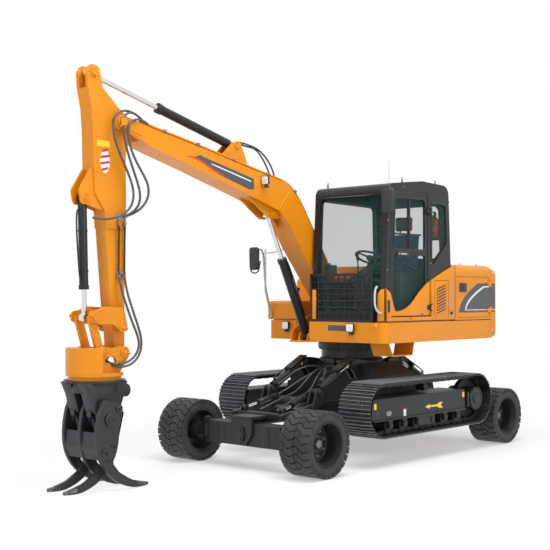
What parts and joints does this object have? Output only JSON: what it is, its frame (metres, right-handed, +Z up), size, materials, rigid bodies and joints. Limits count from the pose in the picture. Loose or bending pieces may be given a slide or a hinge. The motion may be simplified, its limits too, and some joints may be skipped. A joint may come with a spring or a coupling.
{
  "type": "wheel and track excavator with a rotating timber grapple",
  "caption": "Dual-undercarriage excavator: crawler tracks between lowered road wheels, slewing cab and engine deck, offset boom and stick, rotating timber grapple.",
  "frame": {"origin": "on the ground under the middle of the machine's overall length and width, at rest", "axes": "+X to the machine's front, +Y to its left, the cab's side, +Z up"},
  "size_m": [6.7169, 2.428, 4.3806],
  "materials": {
    "yellow_paint": "semi-gloss orange-yellow paint",
    "dark_paint": "satin dark grey paint",
    "track_steel": "worn dark steel",
    "tyre": "matt black solid rubber",
    "rim": "satin black",
    "chrome_rod": "polished",
    "glass": "clear with a green tint",
    "black_plastic": "fine grained",
    "seat_fabric": "dark woven",
    "engine_grey": "cast"
  },
  "bodies": {
    "undercarriage": {"chassis_frame": "dark_paint", "slew_ring": "dark_paint", "track_left": "track_steel", "track_right": "track_steel", "track_wheels": "dark_paint"},
    "front_arms": {"front_lift_arm": "dark_paint", "front_axle": "dark_paint"},
    "steering_slide": {"steering_rod": "chrome_rod"},
    "knuckle_l": {"knuckle_left": "dark_paint"},
    "knuckle_r": {"knuckle_right": "dark_paint"},
    "rear_arms": {"rear_lift_arm": "dark_paint"},
    "wheel_fl": {"tyre_front_left": "tyre", "rim_front_left": "rim"},
    "wheel_fr": {"tyre_front_right": "tyre", "rim_front_right": "rim"},
    "wheel_rl": {"tyre_rear_left": "tyre", "rim_rear_left": "rim"},
    "wheel_rr": {"tyre_rear_right": "tyre", "rim_rear_right": "rim"},
    "front_barrels": {"front_lift_barrels": "dark_paint"},
    "front_rods": {"front_lift_rods": "chrome_rod"},
    "rear_barrels": {"rear_lift_barrels": "dark_paint"},
    "rear_rods": {"rear_lift_rods": "chrome_rod"},
    "upper": {"platform": "yellow_paint", "cab_step": "yellow_paint", "counterweight": "yellow_paint", "engine_hood": "yellow_paint", "engine_block": "engine_grey", "side_boxes": "yellow_paint", "cab_shell": "dark_paint", "cab_glass": "glass", "seat": "seat_fabric", "controls": "black_plastic", "screen_guard": "dark_paint", "mirror": "black_plastic"},
    "cab_door_body": {"cab_door": "dark_paint", "door_glass": "glass"},
    "engine_door_body": {"engine_door": "yellow_paint"},
    "boom_body": {"boom": "yellow_paint"},
    "boom_barrel": {"boom_cylinder_barrel": "dark_paint"},
    "boom_rod": {"boom_cylinder_rod": "chrome_rod"},
    "stick_body": {"stick": "yellow_paint"},
    "stick_barrel": {"stick_cylinder_barrel": "dark_paint"},
    "stick_rod": {"stick_cylinder_rod": "chrome_rod"},
    "bucket_barrel": {"bucket_cylinder_barrel": "dark_paint"},
    "bucket_rod": {"bucket_cylinder_rod": "chrome_rod"},
    "rocker_body": {"rocker": "yellow_paint"},
    "link_body": {"bucket_link": "yellow_paint"},
    "coupler_body": {"coupler": "yellow_paint"},
    "grapple": {"grapple_head": "dark_paint"},
    "jaw_a": {"jaw_three": "dark_paint"},
    "jaw_b": {"jaw_two": "dark_paint"}
  },
  "joints": [
    {"name": "front_lift", "type": "hinge", "parent": "undercarriage", "child": "front_arms", "pos_m": [-0.64546, 0, 0.64], "axis": [0, -1, 0], "range_deg": [0, 18]},
    {"name": "front_barrel_turn", "type": "hinge", "parent": "front_arms", "child": "front_barrels", "pos_m": [0.08254, 0, 0.847], "axis": [0, -1, 0], "range_deg": [-4, 1]},
    {"name": "front_rod_slide", "type": "slide", "parent": "front_barrels", "child": "front_rods", "axis": [-0.9004, 0, 0.4351], "range_m": [-0.17, 0.01]},
    {"name": "rear_lift", "type": "hinge", "parent": "undercarriage", "child": "rear_arms", "pos_m": [-1.50546, 0, 0.64], "axis": [0, 1, 0], "range_deg": [0, 18]},
    {"name": "rear_barrel_turn", "type": "hinge", "parent": "rear_arms", "child": "rear_barrels", "pos_m": [-2.23346, 0, 0.847], "axis": [0, 1, 0], "range_deg": [-4, 1]},
    {"name": "rear_rod_slide", "type": "slide", "parent": "rear_barrels", "child": "rear_rods", "axis": [0.9004, 0, 0.4351], "range_m": [-0.17, 0.01]},
    {"name": "steer_left", "type": "hinge", "parent": "front_arms", "child": "knuckle_l", "pos_m": [0.83754, 0.7, 0.37], "axis": [0, 0, 1], "range_deg": [-30, 30]},
    {"name": "steer_right", "type": "hinge", "parent": "front_arms", "child": "knuckle_r", "pos_m": [0.83754, -0.7, 0.37], "axis": [0, 0, 1], "range_deg": [-30, 30]},
    {"name": "steering_rod_slide", "type": "slide", "parent": "front_arms", "child": "steering_slide", "axis": [0, 1, 0], "range_m": [-0.1, 0.1]},
    {"name": "wheel_front_left", "type": "hinge", "parent": "knuckle_l", "child": "wheel_fl", "pos_m": [0.83754, 0.982, 0.37], "axis": [0, 1, 0], "continuous": true},
    {"name": "wheel_front_right", "type": "hinge", "parent": "knuckle_r", "child": "wheel_fr", "pos_m": [0.83754, -0.982, 0.37], "axis": [0, 1, 0], "continuous": true},
    {"name": "wheel_rear_left", "type": "hinge", "parent": "rear_arms", "child": "wheel_rl", "pos_m": [-2.98846, 0.982, 0.37], "axis": [0, 1, 0], "continuous": true},
    {"name": "wheel_rear_right", "type": "hinge", "parent": "rear_arms", "child": "wheel_rr", "pos_m": [-2.98846, -0.982, 0.37], "axis": [0, 1, 0], "continuous": true},
    {"name": "slew", "type": "hinge", "parent": "undercarriage", "child": "upper", "pos_m": [-1.07546, 0, 1.392], "axis": [0, 0, 1], "continuous": true},
    {"name": "cab_door_swing", "type": "hinge", "parent": "upper", "child": "cab_door_body", "pos_m": [-1.32046, 1.056, 1.7], "axis": [0, 0, 1], "range_deg": [0, 85]},
    {"name": "engine_door_swing", "type": "hinge", "parent": "upper", "child": "engine_door_body", "pos_m": [-2.72046, 1.082, 1.7], "axis": [0, 0, 1], "range_deg": [0, 80]},
    {"name": "boom_lift", "type": "hinge", "parent": "upper", "child": "boom_body", "pos_m": [-0.99546, -0.28, 1.87], "axis": [0, -1, 0], "range_deg": [-48, 20]},
    {"name": "boom_barrel_turn", "type": "hinge", "parent": "upper", "child": "boom_barrel", "pos_m": [-0.51746, -0.28, 1.48], "axis": [0, -1, 0], "range_deg": [-50, 22]},
    {"name": "boom_rod_slide", "type": "slide", "parent": "boom_barrel", "child": "boom_rod", "axis": [0.4456, 0, 0.8953], "range_m": [-0.5, 0.22]},
    {"name": "stick_swing", "type": "hinge", "parent": "boom_body", "child": "stick_body", "pos_m": [2.64454, -0.28, 3.82], "axis": [0, 1, 0], "range_deg": [-85, 18]},
    {"name": "stick_barrel_turn", "type": "hinge", "parent": "boom_body", "child": "stick_barrel", "pos_m": [0.84954, -0.28, 3.769], "axis": [0, 1, 0], "range_deg": [-9, 3]},
    {"name": "stick_rod_slide", "type": "slide", "parent": "stick_barrel", "child": "stick_rod", "axis": [0.9698, 0, 0.244], "range_m": [-0.77, 0.18]},
    {"name": "coupler_swing", "type": "hinge", "parent": "stick_body", "child": "coupler_body", "pos_m": [2.61754, -0.28, 1.408], "axis": [0, 1, 0], "range_deg": [-25, 80]},
    {"name": "rocker_turn", "type": "hinge", "parent": "stick_body", "child": "rocker_body", "pos_m": [2.64454, -0.28, 1.675], "axis": [0, 1, 0], "range_deg": [-18, 54]},
    {"name": "link_turn", "type": "hinge", "parent": "coupler_body", "child": "link_body", "pos_m": [2.90154, -0.28, 1.42], "axis": [0, 1, 0], "range_deg": [-61, 20]},
    {"name": "bucket_barrel_turn", "type": "hinge", "parent": "stick_body", "child": "bucket_barrel", "pos_m": [3.05054, -0.28, 3], "axis": [0, 1, 0], "range_deg": [-2, 2]},
    {"name": "bucket_rod_slide", "type": "slide", "parent": "bucket_barrel", "child": "bucket_rod", "axis": [-0.0293, 0, -0.9996], "range_m": [-0.12, 0.34]},
    {"name": "grapple_spin", "type": "hinge", "parent": "coupler_body", "child": "grapple", "pos_m": [2.87954, -0.28, 1.13], "axis": [0, 0, 1], "continuous": true},
    {"name": "jaw_three_open", "type": "hinge", "parent": "grapple", "child": "jaw_a", "pos_m": [2.90954, -0.28, 0.735], "axis": [0, -1, 0], "range_deg": [0, 55]},
    {"name": "jaw_two_open", "type": "hinge", "parent": "grapple", "child": "jaw_b", "pos_m": [2.84954, -0.28, 0.735], "axis": [0, 1, 0], "range_deg": [0, 55]}
  ],
  "couplings": [
    {"joint": "front_barrel_turn", "follows": "front_lift", "ratio": -0.1651},
    {"joint": "front_rod_slide", "follows": "front_lift", "m_per_rad": -0.5166},
    {"joint": "rear_barrel_turn", "follows": "rear_lift", "ratio": -0.1651},
    {"joint": "rear_rod_slide", "follows": "rear_lift", "m_per_rad": -0.5166},
    {"joint": "steer_right", "follows": "steer_left", "ratio": 1},
    {"joint": "steering_rod_slide", "follows": "steer_left", "m_per_rad": -0.172},
    {"joint": "boom_barrel_turn", "follows": "boom_lift", "ratio": 1.0089},
    {"joint": "boom_rod_slide", "follows": "boom_lift", "m_per_rad": 0.5822},
    {"joint": "stick_barrel_turn", "follows": "stick_swing", "ratio": 0.0898},
    {"joint": "stick_rod_slide", "follows": "stick_swing", "m_per_rad": 0.508},
    {"joint": "rocker_turn", "follows": "coupler_swing", "ratio": 0.6478},
    {"joint": "link_turn", "follows": "coupler_swing", "ratio": -0.7344},
    {"joint": "bucket_barrel_turn", "follows": "coupler_swing", "ratio": 0.0053},
    {"joint": "bucket_rod_slide", "follows": "coupler_swing", "m_per_rad": 0.2333},
    {"joint": "jaw_two_open", "follows": "jaw_three_open", "ratio": 1}
  ]
}
